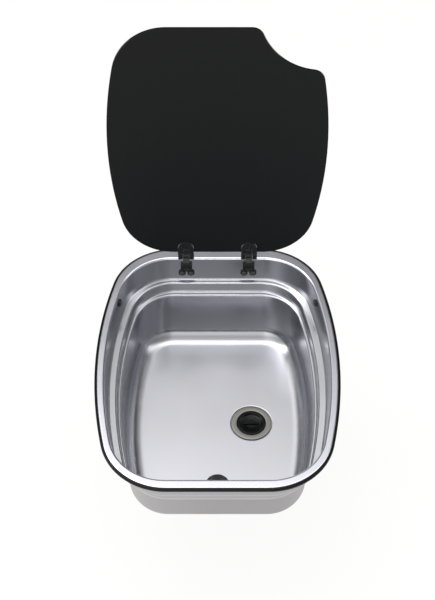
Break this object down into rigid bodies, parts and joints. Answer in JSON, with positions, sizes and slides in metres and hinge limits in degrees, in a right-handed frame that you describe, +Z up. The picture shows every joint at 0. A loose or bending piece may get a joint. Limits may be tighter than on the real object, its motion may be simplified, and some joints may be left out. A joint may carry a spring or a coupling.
{
  "type": "rv kitchen sink with glass lid",
  "caption": "Inset camper kitchen sink: stepped steel bowl with rubber edge seal, off-centre waste with plug, and a black glass lid hinged at the back.",
  "frame": {"origin": "middle of the worktop cut-out, on the worktop surface that the edge seal lies on", "axes": "+X to the user's right, +Y to the back where the lid is hinged, +Z up"},
  "size_m": [0.355, 0.4608, 0.6302],
  "materials": {
    "stainless": "satin pressed stainless steel",
    "waste_steel": "turned stainless steel",
    "black_glass": "black tempered glass, polished",
    "black_rubber": "matt EPDM rubber",
    "black_plastic": "satin glass-filled nylon",
    "plug_plastic": "glossy moulded plastic",
    "waste_plastic": "moulded polypropylene",
    "black_screw": "black zinc",
    "plain_steel": "zinc-plated steel"
  },
  "bodies": {
    "sink": {"basin": "stainless", "elbow_seal": "black_rubber", "fixing_cap_left": "black_plastic", "fixing_cap_right": "black_plastic", "fixing_screw_left": "plain_steel", "fixing_screw_right": "plain_steel", "hinge_base_left": "black_plastic", "hinge_base_right": "black_plastic", "hinge_pin_left": "plain_steel", "hinge_pin_right": "plain_steel", "hinge_plate_left": "plain_steel", "hinge_plate_right": "plain_steel", "hinge_screw_left_1": "black_screw", "hinge_screw_left_2": "black_screw", "hinge_screw_right_1": "black_screw", "hinge_screw_right_2": "black_screw", "lid_rest": "black_plastic", "lid_rest_pad": "black_rubber", "lid_rest_screw_left": "plain_steel", "lid_rest_screw_right": "plain_steel", "rim_seal": "black_rubber", "waste_collar": "waste_plastic", "waste_elbow": "waste_plastic", "waste_flange": "waste_steel", "waste_gasket": "black_rubber", "waste_nut": "waste_plastic", "waste_washer": "black_rubber"},
    "lid": {"hinge_bolt_left": "black_screw", "hinge_bolt_right": "black_screw", "hinge_cap_left": "black_plastic", "hinge_cap_right": "black_plastic", "hinge_leaf_left": "black_plastic", "hinge_leaf_right": "black_plastic", "hinge_pad_left": "black_rubber", "hinge_pad_right": "black_rubber", "lid_glass": "black_glass"},
    "plug": {"drain_plug": "plug_plastic", "plug_ring": "black_rubber"}
  },
  "joints": [
    {"name": "lid_hinge", "type": "hinge", "parent": "sink", "child": "lid", "pos_m": [0, 0.2, 0.008], "axis": [1, 0, 0], "range_deg": [0, 96]},
    {"name": "plug_lift", "type": "slide", "parent": "sink", "child": "plug", "axis": [0, 0, 1], "range_m": [0, 0.09]}
  ]
}
